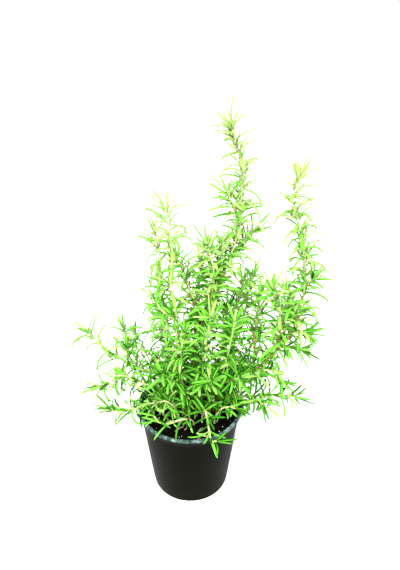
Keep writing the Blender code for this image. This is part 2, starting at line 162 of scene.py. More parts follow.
# Each rooted stem: its habit, bark, the width of its foot, its bare length and its shoots. The
# first shoot rises from the soil; each other one branches off it where it passes nearest to that
# branch's first point.
STEMS = {
    "centre_leader": ("upright", "brown", 3.6, 60, [
        [(2, 12), (3, 12, 130), (8, 14, 188), (14, 14, 208), (23, 12, 248), (38, 8, 284),
         (47, 4, 316), (50, 2, 345), (48, 0, 390), (38, -4, 424)],
        [(11, 14, 200), (2, 22, 240), (-5, 25, 268), (-14, 25, 288)],
        [(15, 14, 214), (23, 0, 252), (25, -6, 286), (18, -8, 314)],
        [(26, 12, 256), (32, 4, 282), (33, -2, 312)],
        [(40, 7, 290), (53, 10, 306), (64, 12, 320)],
        [(49, 2, 338), (42, -6, 352), (37, -8, 364)],
    ]),
    "left_leader": ("hooked", "green", 3.2, 45, [
        [(-8, -4), (-10, -5, 135), (-14, -8, 185), (-12, -10, 228), (-17, -12, 267),
         (-15, -14, 303), (-17, -16, 334), (-19, -16, 352)],
        [(-12, -10, 226), (-26, -18, 246), (-34, -22, 262)],
    ]),
    "left_back_stem": ("hooked", "leafy", 2.8, 45, [
        [(-16, 10), (-20, 12, 150), (-27, 14, 202), (-31, 16, 251), (-29, 16, 286),
         (-33, 14, 316)],
    ]),
    "right_leader": ("upright", "brown", 3.6, 55, [
        [(27, 4), (34, 5, 118), (52, 3, 142), (75, 0, 161), (97, 0, 188), (110, 0, 208),
         (117, 2, 230), (118, 4, 263), (115, 6, 299), (107, 8, 330), (100, 8, 352),
         (104, 8, 375)],
        [(72, 1, 158), (71, 8, 196), (74, 10, 224), (74, 10, 250)],
        [(93, 0, 183), (96, -8, 222), (90, -12, 248), (84, -14, 268)],
        [(112, 1, 214), (107, -7, 244), (97, -11, 265)],
        [(106, 0, 202), (117, -5, 212), (125, -10, 213)],
        [(99, 0, 191), (110, -9, 195), (118, -13, 195)],
        [(118, 3, 258), (125, -2, 274)],
    ]),
    "mid_right_stem": ("upright", "leafy", 2.8, 50, [
        [(20, 22), (25, 25, 112), (38, 30, 142), (53, 35, 176), (62, 38, 211), (65, 38, 234),
         (70, 36, 259)],
        [(47, 33, 162), (40, 30, 196), (42, 28, 226)],
    ]),
    "long_left_stem": ("hooked", "cream", 2.6, 40, [
        [(-8, 4), (-10, 5, 116), (-19, 7, 136), (-36, 8, 148), (-59, 6, 158), (-80, 2, 175),
         (-95, -2, 192), (-108, -4, 212)],
        [(-56, 6, 157), (-64, -2, 176), (-66, -6, 192)],
    ]),
    "upper_left_stem": ("hooked", "cream", 2.4, 48, [
        [(-5, 20), (-9, 21, 125), (-29, 25, 148), (-51, 26, 163), (-67, 24, 176), (-73, 22, 198)],
    ]),
    "middle_left_stem": ("curly", "cream", 2.4, 22, [
        [(-21, -6), (-24, -7, 120), (-42, -8, 140), (-60, -12, 153), (-74, -16, 163),
         (-88, -22, 158), (-96, -26, 157)],
    ]),
    "low_left_stem": ("curly", "cream", 2.4, 26, [
        [(-14, -16), (-16, -18, 118), (-26, -24, 134), (-42, -28, 135), (-60, -30, 129),
         (-76, -32, 127), (-86, -34, 133)],
    ]),
    "front_left_stem": ("trailing", "cream", 2.2, 20, [
        [(4, -20), (0, -24, 108), (-10, -33, 116), (-22, -41, 118), (-32, -45, 124),
         (-38, -45, 134)],
    ]),
    "front_trailer": ("trailing", "cream", 2.2, 20, [
        [(14, -16), (15, -19, 112), (17, -27, 124), (19, -39, 125), (21, -53, 120),
         (24, -65, 117), (30, -70, 121)],
    ]),
    "front_right_stem": ("trailing", "cream", 2.4, 16, [
        [(28, -16), (31, -19, 112), (37, -25, 126), (45, -33, 134), (50, -38, 136)],
    ]),
    "low_right_stem": ("broad", "leafy", 2.6, 30, [
        [(34, -6), (40, -8, 116), (56, -11, 130), (80, -15, 134), (102, -18, 138),
         (116, -20, 137)],
        [(66, -13, 132), (74, -24, 137), (81, -32, 135)],
    ]),
    "arching_right_stem": ("broad", "cream", 2.6, 34, [
        [(35, 14), (40, 13, 118), (50, 8, 152), (60, 1, 167), (70, -7, 163), (80, -13, 168),
         (91, -18, 171), (99, -22, 159)],
    ]),
    "inner_left_stem": ("broad", "leafy", 2.6, 30, [
        [(-4, -10), (-5, -12, 130), (-9, -18, 168), (-8, -22, 200), (-4, -24, 226)],
        [(-8, -16, 158), (-22, -28, 172), (-29, -36, 182)],
    ]),
    "inner_front_stem": ("broad", "leafy", 2.8, 30, [
        [(8, -6), (9, -9, 130), (13, -16, 172), (18, -20, 208), (22, -22, 242)],
        [(11, -13, 154), (20, -30, 166), (24, -40, 176)],
    ]),
    "inner_right_stem": ("broad", "leafy", 2.6, 30, [
        [(22, -6), (27, -8, 126), (37, -10, 166), (43, -12, 200), (47, -14, 232)],
        [(32, -9, 148), (46, -22, 162), (54, -30, 172)],
        [(38, -10, 172), (52, -17, 182), (65, -23, 179), (73, -27, 170)],
    ]),
    "back_left_stem": ("upright", "leafy", 2.8, 40, [
        [(-16, 26), (-20, 33, 130), (-29, 42, 174), (-34, 47, 214), (-35, 48, 246)],
    ]),
    "back_right_stem": ("upright", "brown", 2.8, 40, [
        [(22, 34), (32, 42, 130), (46, 52, 174), (56, 58, 210), (60, 58, 240)],
    ]),
    "back_upright_stem": ("upright", "leafy", 3.0, 40, [
        [(4, 32), (4, 42, 135), (7, 52, 184), (10, 57, 230), (12, 57, 266)],
    ]),
    "low_back_left_stem": ("hooked", "cream", 2.4, 34, [
        [(-28, 18), (-36, 27, 124), (-52, 42, 148), (-66, 54, 172)],
    ]),
    "low_back_right_stem": ("hooked", "cream", 2.4, 34, [
        [(38, 26), (48, 34, 126), (68, 46, 150), (84, 56, 174)],
    ]),
    "back_trailer": ("hooked", "cream", 2.4, 24, [
        [(4, 46), (3, 54, 116), (-1, 72, 130), (-5, 92, 132)],
    ]),
}

# Bark colours from the foot of a shoot to its tip
BARKS = {
    "brown": ((0.20, 0.12, 0.015), (0.42, 0.32, 0.08), (0.64, 0.64, 0.40)),
    "cream": ((0.38, 0.33, 0.16), (0.57, 0.55, 0.30), (0.42, 0.52, 0.17)),
    "green": ((0.40, 0.32, 0.13), (0.50, 0.52, 0.18), (0.52, 0.60, 0.26)),
    "leafy": ((0.15, 0.14, 0.04), (0.18, 0.30, 0.06), (0.34, 0.60, 0.12)),
}


# ---------------------------------------------------------------- meshes and materials

def mesh_object(name, verts, faces, material, uvs=None):
    """A smooth-shaded object from vertices, faces and one map place for each face corner."""
    mesh = bpy.data.meshes.new(name)
    mesh.from_pydata(verts, [], faces)
    if uvs is not None:
        mesh.uv_layers.new(name="OFBake").uv.foreach_set("vector", np.ravel(uvs).astype(np.float32))
    mesh.shade_smooth()
    mesh.materials.append(material)
    made = bpy.data.objects.new(name, mesh)
    bpy.context.scene.collection.objects.link(made)
    return made


def on_plant(piece, slot, *nodes):
    """Lets a piece ride on the object, standing for CAD nodes; the slot argument is not used."""
    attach(piece, "root")
    if nodes:
        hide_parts(*nodes)
    return piece


class Paint:
    """A short way to write a material's nodes."""

    def __init__(self, name):
        self.material = bpy.data.materials.new(name)
        self.material.use_nodes = True
        self.tree = self.material.node_tree
        self.shader = self.tree.nodes["Principled BSDF"]

    def feed(self, socket, value):
        """Links a socket to another, or sets it to a number, colour or vector."""
        if isinstance(value, bpy.types.NodeSocket):
            self.tree.links.new(value, socket)
        else:
            socket.default_value = value

    def node(self, kind, **settings):
        """A new shader node of a kind, with its settings."""
        made = self.tree.nodes.new("ShaderNode" + kind)
        for key, value in settings.items():
            setattr(made, key, value)
        return made

    def maths(self, operation, a, b=0.0, c=0.0):
        """One operation on numbers."""
        made = self.node("Math", operation=operation)
        for socket, value in zip(made.inputs, (a, b, c)):
            self.feed(socket, value)
        return made.outputs[0]

    def mix(self, share, a, b, kind="MIX"):
        """Colour a with a share of colour b."""
        made = self.node("Mix", data_type="RGBA", blend_type=kind)
        self.feed(made.inputs["Factor"], share)
        self.feed(made.inputs["A"], a if isinstance(a, bpy.types.NodeSocket) else (*a, 1))
        self.feed(made.inputs["B"], b if isinstance(b, bpy.types.NodeSocket) else (*b, 1))
        return made.outputs["Result"]

    def between(self, value, low, high):
        """0 below low, 1 above high, smooth in between."""
        made = self.node("MapRange", interpolation_type="SMOOTHSTEP")
        for key, number in (("Value", value), ("From Min", low), ("From Max", high)):
            self.feed(made.inputs[key], number)
        return made.outputs["Result"]

    def ramp(self, value, *stops):
        """A colour ramp through (place, colour) stops."""
        made = self.node("ValToRGB")
        elements = made.color_ramp.elements
        while len(elements) < len(stops):
            elements.new(0.5)
        for element, (place, colour) in zip(elements, stops):
            element.position = place
            element.color = (*colour, 1)
        self.feed(made.inputs["Fac"], value)
        return made.outputs["Color"]

    def noise(self, place, scale, detail=3.0, roughness=0.55):
        """Cloudy noise from 0 to 1."""
        made = self.node("TexNoise")
        self.feed(made.inputs["Vector"], place)
        made.inputs["Scale"].default_value = scale
        made.inputs["Detail"].default_value = detail
        made.inputs["Roughness"].default_value = roughness
        return made.outputs["Fac"]

    def place(self):
        """Where a point is on the object, in metres."""
        return self.node("TexCoord").outputs["Object"]

    def stretched(self, place, x, y, z):
        """A place with its axes scaled."""
        made = self.node("Mapping")
        self.feed(made.inputs["Vector"], place)
        made.inputs["Scale"].default_value = (x, y, z)
        return made.outputs["Vector"]

    def split(self, vector):
        """A vector's three numbers."""
        made = self.node("SeparateXYZ")
        self.feed(made.inputs[0], vector)
        return made.outputs

    def bump(self, height, strength, distance):
        """Roughens the shader's normal by a height."""
        made = self.node("Bump")
        made.inputs["Strength"].default_value = strength
        made.inputs["Distance"].default_value = distance
        self.feed(made.inputs["Height"], height)
        self.feed(self.shader.inputs["Normal"], made.outputs[0])

    def finish(self, colour, roughness, **plain):
        """Sets the shader's colour and roughness, and its other sockets by name."""
        self.feed(self.shader.inputs["Base Color"], colour)
        self.feed(self.shader.inputs["Roughness"], roughness)
        for key, value in plain.items():
            self.shader.inputs[key.replace("_", " ")].default_value = value
        return self.material


def needle_material():
    """Glossy ribbed upper side with a painted highlight down its midrib and painted shade along its
    edges, and a pale felted underside, partly painted darker as its shaded side. Its map holds a band
    for each tone: the first TONES bands are upper sides and the next TONES are undersides."""
    paint = Paint("rosemary_needle")
    map_place = paint.node("UVMap", uv_map="OFBake").outputs[0]
    along, bands, _ = paint.split(map_place)
    bands = paint.maths("MULTIPLY", bands, 2 * TONES)
    band = paint.maths("FLOOR", bands)
    across = paint.maths("FRACT", bands)
    under = paint.maths("GREATER_THAN", band, TONES - 0.5)
    tone = paint.maths("DIVIDE", paint.maths("MODULO", band, TONES), TONES - 1)

    upper = paint.ramp(
        tone, (0.0, (0.45, 0.47, 0.22)), (0.3, (0.37, 0.43, 0.20)),
        (0.65, (0.10, 0.39, 0.024)), (1.0, (0.0022, 0.050, 0.0006)),
    )
    # Undersides, partly painted shade: through most tones darker and more saturated than the upper
    # side, as the needle's shaded side.
    lower = paint.ramp(
        tone, (0.0, (0.34, 0.47, 0.15)), (0.5, (0.12, 0.39, 0.04)), (1.0, (0.010, 0.10, 0.003)),
    )
    off_rib = paint.maths("ABSOLUTE", paint.maths("SUBTRACT", across, 0.5))
    # Midrib mask: a painted highlight on the upper side, a greener rib on the underside and a groove in
    # the bump.
    midrib_and_highlight = paint.maths("SUBTRACT", 1.0, paint.between(off_rib, 0.02, 0.14))
    # Painted shade along the upper side's edges.
    margin = paint.between(off_rib, 0.32, 0.45)
    upper = paint.mix(paint.maths("MULTIPLY", midrib_and_highlight, 0.42), upper, (0.30, 0.60, 0.07))
    upper = paint.mix(paint.maths("MULTIPLY", margin, 0.75), upper, (0.012, 0.14, 0.002))
    lower = paint.mix(paint.maths("MULTIPLY", midrib_and_highlight, 0.7), lower, (0.16, 0.44, 0.03))
    colour = paint.mix(under, upper, lower)

    fleck = paint.noise(paint.stretched(map_place, 22, 2 * TONES * 3, 1), 1.0, 4.0)
    colour = paint.mix(paint.between(fleck, 0.35, 0.75), colour, (0.75, 0.85, 0.55), "MULTIPLY")
    foot = paint.maths("SUBTRACT", 1.0, paint.between(along, 0.02, 0.16))
    colour = paint.mix(paint.maths("MULTIPLY", foot, 0.6), colour, (0.38, 0.50, 0.13))
    dry = paint.maths("MULTIPLY", paint.between(along, 0.94, 0.995), tone)
    colour = paint.mix(paint.maths("MULTIPLY", dry, 0.6), colour, (0.35, 0.22, 0.07))

    grain = paint.noise(paint.stretched(map_place, 60, 2 * TONES * 9, 1), 1.0, 2.0)
    paint.bump(paint.maths("SUBTRACT", grain, paint.maths("MULTIPLY", midrib_and_highlight, 0.6)), 0.35, 0.1 * MM)
    roughness = paint.maths("ADD", 0.33, paint.maths("MULTIPLY", under, 0.38))
    roughness = paint.maths("ADD", roughness, paint.maths("MULTIPLY", grain, 0.12))
    return paint.finish(colour, roughness, Specular_IOR_Level=0.04)


def bark_material(kind):
    """Bark that turns from woody at a shoot's foot (0 along the map's V) to green at its tip."""
    foot, middle, tip = BARKS[kind]
    paint = Paint("bark_" + kind)
    _, along, _ = paint.split(paint.node("UVMap", uv_map="OFBake").outputs[0])
    place = paint.place()
    wander = paint.maths("MULTIPLY", paint.maths("SUBTRACT", paint.noise(place, 60), 0.5), 0.5)
    colour = paint.ramp(
        paint.maths("ADD", along, wander), (0.08, foot), (0.42, middle), (0.85, tip),
    )
    streak = paint.noise(paint.stretched(place, 1400, 1400, 160), 1.0, 4.0)
    dark = [channel * 0.5 for channel in middle]
    colour = paint.mix(paint.maths("MULTIPLY", paint.between(streak, 0.5, 0.72), 0.6), colour, dark)
    paint.bump(streak, 0.6, 0.25 * MM)
    roughness = paint.maths("ADD", 0.5, paint.maths("MULTIPLY", streak, 0.3))
    return paint.finish(colour, roughness, Specular_IOR_Level=0.10)


def pot_material():
    """Black recycled plastic with an olive tint that is painted reflection, fine draw lines, a little
    dust and a painted highlight on its lip.
    """
    paint = Paint("pot_plastic")
    place = paint.place()
    _, _, height = paint.split(place)
    cloud = paint.noise(place, 35, 5.0)
    # Painted reflection: the olive-yellow tint of these near-black colours stands for yellow light
    # reflected up from below.
    colour = paint.mix(cloud, (0.0006, 0.0009, 0.0002), (0.0016, 0.0022, 0.0003))
    low = paint.maths("SUBTRACT", 1.0, paint.between(height, 0.0, 0.35 * POT_HEIGHT))
    dust = paint.between(paint.noise(place, 260, 6.0, 0.7), 0.50, 0.78)
    dust = paint.maths("MULTIPLY", dust, paint.maths("ADD", 0.06, paint.maths("MULTIPLY", low, 0.2)))
    # The dust itself is real; its yellow tint is painted reflection, as on the plastic.
    colour = paint.mix(dust, colour, (0.02, 0.022, 0.004))
    # Painted highlight: a blotchy blue-grey band over the lip's upper half, where the rolled lip
    # catches the light.
    lip = paint.between(height, POT_HEIGHT - 0.85 * LIP_HEIGHT, POT_HEIGHT - 0.5 * LIP_HEIGHT)
    painted_lip_highlight = paint.ramp(
        paint.noise(paint.stretched(place, 1, 1, 0.3), 230, 4.0),
        (0.36, (0.018, 0.034, 0.026)), (0.52, (0.050, 0.090, 0.075)), (0.66, (0.15, 0.22, 0.21)),
    )
    colour = paint.mix(paint.maths("MULTIPLY", lip, 0.9), colour, painted_lip_highlight)
    lines = paint.noise(paint.stretched(place, 4, 4, 900), 1.0, 2.0)
    grain = paint.noise(place, 1500, 2.0)
    paint.bump(paint.maths("ADD", paint.maths("MULTIPLY", lines, 0.6), grain), 0.18, 0.15 * MM)
    roughness = paint.maths("ADD", 0.34, paint.maths("MULTIPLY", cloud, 0.2))
    roughness = paint.maths("ADD", roughness, paint.maths("MULTIPLY", dust, 1.2))
    return paint.finish(colour, roughness, Specular_IOR_Level=0.012)


def soil_material(name, dark, light, scale):
    """A crumbly matt surface that varies between two colours, with paler specks."""
    paint = Paint(name)
    place = paint.place()
    lump = paint.noise(place, scale, 6.0, 0.7)
    fine = paint.noise(place, scale * 6, 3.0)
    colour = paint.mix(paint.between(lump, 0.35, 0.7), dark, light)
    colour = paint.mix(paint.between(fine, 0.62, 0.8), colour, [2.2 * x for x in light])
    paint.bump(paint.maths("ADD", lump, paint.maths("MULTIPLY", fine, 0.5)), 0.9, 0.8 * MM)
    roughness = paint.maths("ADD", 0.75, paint.maths("MULTIPLY", fine, 0.2))
    return paint.finish(colour, roughness, Specular_IOR_Level=0.02)


# ---------------------------------------------------------------- stems

class Shoot:
    """A smooth centre line through a few points, with a thickness that tapers."""

    def __init__(self, name, points, foot_half, tip_half, across):
        self.name = name
        self.line = smooth_line(points)
        steps = [(b - a).length for a, b in zip(self.line, self.line[1:])]
        self.along = np.concatenate([[0], np.cumsum(steps)])
        self.length = float(self.along[-1])
        self.foot_half = foot_half
        self.tip_half = tip_half
        self.frames = self.carried_frames(across)

    def carried_frames(self, across):
        """(tangent, across) at each point of the line, turned as little as possible."""
        frames = []
        for before, after in zip(self.line, self.line[1:]):
            tangent = (after - before).normalized()
            across = (across - across.dot(tangent) * tangent).normalized()
            frames.append((tangent, across))
        return frames + frames[-1:]

    def at(self, distance):
        """Centre, tangent, across and half width at this distance from the foot."""
        index = int(np.searchsorted(self.along, distance, side="right")) - 1
        index = min(max(index, 0), len(self.line) - 2)
        span = self.along[index + 1] - self.along[index]
        share = (distance - self.along[index]) / span
        centre = self.line[index].lerp(self.line[index + 1], share)
        tangent, across = self.frames[index]
        taper = min(max(distance / self.length, 0), 1)
        half = self.foot_half + (self.tip_half - self.foot_half) * taper
        return centre, tangent, across, half


def smooth_line(points):
    """Points closely spaced along a smooth curve through the given ones."""
    points = [Vector(point) * MM for point in points]
    slopes = []
    for index in range(len(points)):
        before = points[max(index - 1, 0)]
        after = points[min(index + 1, len(points) - 1)]
        slopes.append((after - before).normalized())
    line = [points[0]]
    for index, (start, end) in enumerate(zip(points, points[1:])):
        reach = (end - start).length / 3
        bend = interpolate_bezier(
            start, start + slopes[index] * reach, end - slopes[index + 1] * reach, end, 9
        )
        line += bend[1:]
    return line


def shoots_of(name):
    """The main shoot of a stem, and its branches."""
    _, _, foot_width, _, courses = STEMS[name]
    x, y = courses[0][0]
    collar = SOIL_CROWN / MM + COLLAR
    rooted = [(x, y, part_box(name)[0].z / MM), (x, y, collar - 8), (x, y, collar), *courses[0][1:]]
    main = Shoot("main", rooted, foot_width * MM / 2, 0.8 * MM, Vector((1, 0, 0)))
    shoots = [main]
    for index, course in enumerate(courses[1:]):
        target = Vector(course[0]) * MM
        nearest = min(range(len(main.line)), key=lambda k: (main.line[k] - target).length)
        centre, _, _, half = main.at(float(main.along[nearest]))
        points = [tuple(centre / MM), *course[1:]]
        shoots.append(Shoot(f"branch_{index}", points, half * 0.8, 0.7 * MM, Vector((0, 0, 1))))
    return shoots


def bark_mesh(name, shoots, joints, material, dice):
    """The stem and its branches as closed tubes: four-ribbed, swollen where needles sit, and
    flared where a branch starts. Each tube has its own strip of the map."""
    verts, faces, uvs = [], [], []
    for strip, shoot in enumerate(shoots):
        first = len(verts)
        rings = max(4, round(shoot.length / RING_STEP))
        swells = np.array(joints[shoot.name]) if joints[shoot.name] else np.array([-1.0])
        phase = dice.uniform(0, 6)
        for step in range(rings + 1):
            distance = shoot.length * step / rings
            centre, tangent, across, half = shoot.at(distance)
            up = tangent.cross(across)
            swell = NODE_SWELL * math.exp(-(float(np.abs(swells - distance).min()) / MM) ** 2)
            flare = 0.5 * math.exp(-distance / (1.5 * MM)) if strip else 0.0
            tip = math.sqrt(max(0.05, 1 - (distance / shoot.length) ** 40))
            for point in range(RING):
                turn = 2 * math.pi * point / RING
                ribs = 0.07 * math.cos(4 * turn)
                knobs = 0.06 * noise.noise(centre * 300 + Vector((turn, phase, 0)))
                radius = half * tip * (1 + ribs + knobs + swell + flare)
                verts.append(centre + radius * (math.cos(turn) * across + math.sin(turn) * up))
        for step in range(rings):
            for point in range(RING):
                after = (point + 1) % RING
                low, high = first + step * RING, first + (step + 1) * RING
                faces.append((low + point, low + after, high + after, high + point))
                left, right = (
                    (strip + 0.05 + 0.9 * side / RING) / len(shoots) for side in (point, point + 1)
                )
                bottom, top = step / rings, (step + 1) / rings
                uvs += [(left, bottom), (right, bottom), (right, top), (left, top)]
        last = first + rings * RING
        faces.append(tuple(range(first + RING - 1, first - 1, -1)))
        faces.append(tuple(range(last, last + RING)))
        middle = (strip + 0.5) / len(shoots)
        for height in (0.0, 1.0):
            for point in range(RING):
                turn = 2 * math.pi * point / RING
                along = abs(height - 0.005 - 0.004 * math.sin(turn))
                uvs.append((middle + 0.01 * math.cos(turn), along))
    return mesh_object(name + "_bark", verts, faces, material, uvs)


# ---------------------------------------------------------------- needles

class Thicket:
    """The space that stems and needles already fill, as balls in a grid of cells."""

    def __init__(self):
        self.cells = {}

    def add(self, points, radius, stem, shoot="needle"):
        """Fills balls of a radius, which belong to a stem's shoot or to its needles."""
        for point in points:
            cell = tuple(int(x // CELL) for x in point)
            self.cells.setdefault(cell, []).append((point, radius, stem, shoot))

    def touches(self, points, radius, stem, shoot):
        """Whether a needle comes too near anything but the shoot it grows on."""
        for point in points:
            x, y, z = (int(v // CELL) for v in point)
            for cell in ((x + i, y + j, z + k) for i in NEAR for j in NEAR for k in NEAR):
                for other, other_radius, other_stem, other_shoot in self.cells.get(cell, ()):
                    if other_stem != stem:
                        needed = radius + other_radius + CLEARANCE
                    elif other_shoot == shoot:
                        continue
                    else:
                        needed = other_radius + 0.3 * radius
                    if (other - point).length_squared < needed * needed:
                        return True
        return False


def needle_line(foot, direction, hinge, length, bend, droop, stations):
    """Points and directions along a needle that bends back about its hinge and sags."""
    points, directions = [foot], [direction]
    for station in range(1, stations):
        share = station / (stations - 1)
        turn = Quaternion(hinge, bend * 1.3 * (0.35 + 0.65 * share) / (stations - 1))
        direction = (turn @ direction + Vector((0, 0, -droop * share / stations))).normalized()
        points.append(points[-1] + direction * length / (stations - 1))
        directions.append(direction)
    return points, directions


def outline_width(share):
    """A needle's width along it, as a share: a narrow foot, near parallel sides, a blunt tip."""
    return min(1.0, 0.45 + 2.6 * share) * math.sqrt(max(0.0, 1 - share ** 5))


def needle_verts(points, directions, hinge, width, thickness, twist):
    """A needle's vertices: a ring of section points at each station but the last, and a tip."""
    verts = []
    last = len(points) - 1
    for station, (point, direction) in enumerate(zip(points[:-1], directions)):
        share = station / last
        sideways = (hinge - hinge.dot(direction) * direction).normalized()
        sideways = Quaternion(direction, twist * share) @ sideways
        over = sideways.cross(direction)
        half = width / 2 * outline_width(share)
        deep = thickness * math.sqrt(outline_width(share))
        verts += [point + sideways * (a * half) + over * (b * deep) for a, b in SECTION]
    verts.append(points[-1])
    return verts


def needle_pattern(stations):
    """A needle's faces, and for each face corner its place along and across, and its side."""
    ring = len(SECTION)
    last = stations - 2
    faces, places = [], []
    for point in range(ring):
        after = (point + 1) % ring
        is_under = point >= UPPER_POINTS - 1
        first, span = (UPPER_POINTS - 1, ring - UPPER_POINTS + 1) if is_under else (0, UPPER_POINTS - 1)
        left, right = (point - first) / span, (point - first + 1) / span
        for station in range(last):
            low, high = station * ring, (station + 1) * ring
            near, far = station / (stations - 1), (station + 1) / (stations - 1)
            faces.append((low + after, low + point, high + point, high + after))
            places += [(near, right, is_under), (near, left, is_under),
                       (far, left, is_under), (far, right, is_under)]
        faces.append((last * ring + after, last * ring + point, (last + 1) * ring))
        near = last / (stations - 1)
        places += [(near, right, is_under), (near, left, is_under),
                   (1.0, (left + right) / 2, is_under)]
    faces.append(tuple(range(ring)))
    places += [(0.01 * (point % 2), point / ring, False) for point in range(ring)]
    return faces, np.array(places, float)


PATTERNS = {count: needle_pattern(count) for count in (LONG_STATIONS, SHORT_STATIONS)}


class Needles:
    """The needles of one stem, gathered into a single mesh."""

    def __init__(self):
        self.verts, self.faces, self.uvs = [], [], []

    def add(self, verts, stations, tone):
        """Adds a needle, with its place in the map's band for its tone."""
        faces, places = PATTERNS[stations]
        first = len(self.verts)
        self.verts += verts
        self.faces += [tuple(first + corner for corner in face) for face in faces]
        band = min(TONES - 1, max(0, round(tone * (TONES - 1)))) + places[:, 2] * TONES
        along = 0.01 + 0.98 * places[:, 0]
        across = (band + 0.08 + 0.84 * places[:, 1]) / (2 * TONES)
        self.uvs.append(np.stack([along, across], 1))

    def build(self, name, material):
        """The object that all the needles make."""
        return mesh_object(name + "_needles", self.verts, self.faces, material, np.vstack(self.uvs))


def clear_of_pot(points, margin):
    """Whether points stay out of the soil and of the pot's wall and lip."""
    for point in points:
        radius = math.hypot(point.x, point.y)
        outside = radius > RIM_RADIUS + margin
        inside = radius < WALL_TOP_RADIUS - WALL - margin
        floor = SOIL_CROWN + 1 * MM if inside else POT_HEIGHT + margin
        if point.z < floor and not outside:
            return False
    return True


def aged(pair, youth):
    """Between the value far below the tip and the value at the tip."""
    return pair[0] + (pair[1] - pair[0]) * youth


def freshness(shoot, to_tip):
    """How yellow-green needles are so far from a shoot's tip, from 0 to 1."""
    return math.exp(-to_tip / FRESH_REACH) * min(1.0, shoot.length / LONG_SHOOT)


def painted_shade_depth(point):
    """How far down the plant a point is, which sets its painted shade: 0 at its top and 1 at the pot's
    lip.
    """
    return max(0.0, 1 - (point.z - POT_HEIGHT) / (PLANT_TOP - POT_HEIGHT)) ** PAINTED_SHADE_POWER


def grow_needle(needles, thicket, stem, shoot, distance, outward, look, dice):
    """Adds one needle to a stem at the first try that touches nothing; each try strays further and
    is a little shorter. look is its angle, bend, droop, length, width and tone."""
    angle, bend, droop, length, width, tone = look
    centre, tangent, _, half = shoot.at(distance)
    foot = centre + outward * (half - SUNK)
    stations = LONG_STATIONS if length > LONG_NEEDLE else SHORT_STATIONS
    ball = NEEDLE_BALL * width
    for attempt in range(LEAF_TRIES):
        stray = math.radians(STRAY + STRAY_STEP * attempt)
        aim = Quaternion(tangent, dice.gauss(0, stray)) @ outward
        hinge = tangent.cross(aim).normalized()
        leaning = max(0.2, math.radians(angle) + dice.gauss(0, stray))
        direction = Quaternion(hinge, leaning) @ tangent
        points, directions = needle_line(
            foot, direction, hinge, length * (1 - 0.05 * attempt), math.radians(bend), droop, stations
        )
        tested = points[2:]
        if not clear_of_pot(tested, width / 2):
            continue
        if not thicket.touches(tested, ball, stem, shoot.name):
            thicket.add(points[1:], ball, stem)
            twist = dice.gauss(0, 0.5)
            verts = needle_verts(points, directions, hinge, width, THICKNESS * width, twist)
            spread = aged(TONE_SPREAD, min(painted_shade_depth(foot), 1.0))
            needles.add(verts, stations, tone + dice.gauss(0, spread))
            return


def grow_node(needles, thicket, stem, shoot, distance, turn, dice):
    """A pair of opposite needles, with a tuft of young ones in some of their axils."""
    habit = HABITS[STEMS[stem][0]]
    centre, tangent, across, _ = shoot.at(distance)
    to_tip = shoot.length - distance
    youth = math.exp(-to_tip / YOUNG_REACH)
    # The tone is made darker with depth as painted shade.
    tone = aged(habit["tone"], freshness(shoot, to_tip)) + PAINTED_SHADE * painted_shade_depth(centre)
    for opposite in (0, math.pi):
        outward = Quaternion(tangent, turn + opposite) @ across
        look = (
            aged(habit["angle"], youth) * dice.uniform(0.65, 1.3),
            aged(habit["bend"], youth) * dice.uniform(0.2, 1.5),
            aged(habit["droop"], youth) * dice.uniform(0.3, 1.4),
            aged(habit["length"], youth) * MM * dice.uniform(0.62, 1.15),
            aged(habit["width"], youth) * MM * dice.uniform(0.85, 1.12),
            tone,
        )
        grow_needle(needles, thicket, stem, shoot, distance, outward, look, dice)
        if to_tip > 8 * MM and dice.random() < habit["tuft"]:
            for _ in range(dice.choice((1, 2, 3))):
                beside = Quaternion(tangent, dice.gauss(0, 0.6)) @ outward
                size = dice.uniform(0.36, 0.84)
                small = (
                    dice.uniform(22, 60), dice.uniform(-15, 70), 0.1,
                    habit["length"][0] * MM * size, habit["width"][0] * MM * (0.5 + 0.45 * size),
                    0.7 * tone,
                )
                spot = distance + dice.uniform(0.4, 1.6) * MM
                grow_needle(needles, thicket, stem, shoot, spot, beside, small, dice)


def grow_shoot(needles, thicket, stem, shoot, first, dice):
    """Pairs of needles up a shoot, each pair a quarter turn from the last, with young needles in
    some axils and a bunch at the tip. Returns where the pairs sit."""
    habit = HABITS[STEMS[stem][0]]
    joints = []
    distance, turn = first, dice.uniform(0, math.pi)
    while distance < shoot.length - 2 * MM:
        joints.append(distance)
        turn += math.pi / 2 + dice.gauss(0, 0.28)
        grow_node(needles, thicket, stem, shoot, distance, turn, dice)
        youth = math.exp(-(shoot.length - distance) / YOUNG_REACH)
        distance += aged(habit["gap"], youth) * MM * dice.uniform(0.8, 1.2)
    tip, tangent, across, _ = shoot.at(shoot.length)
    # The tip bunch also gets the painted shade of its depth.
    tone = aged(habit["tone"], freshness(shoot, 0)) + PAINTED_SHADE * painted_shade_depth(tip)
    for count in range(habit["bunch"]):
        outward = Quaternion(tangent, turn + count * 2.4) @ across
        spot = shoot.length - (0.4 + 0.5 * count) * MM
        long = count % 2
        look = (
            dice.uniform(26, 56) if long else dice.uniform(3, 18), dice.uniform(-8, 20), 0.0,
            habit["length"][1] * MM * (dice.uniform(0.7, 1.0) if long else 1.08 - 0.11 * count),
            habit["width"][1] * MM * (1.0 if long else 0.85), tone,
        )
        grow_needle(needles, thicket, stem, shoot, spot, outward, look, dice)
    return joints


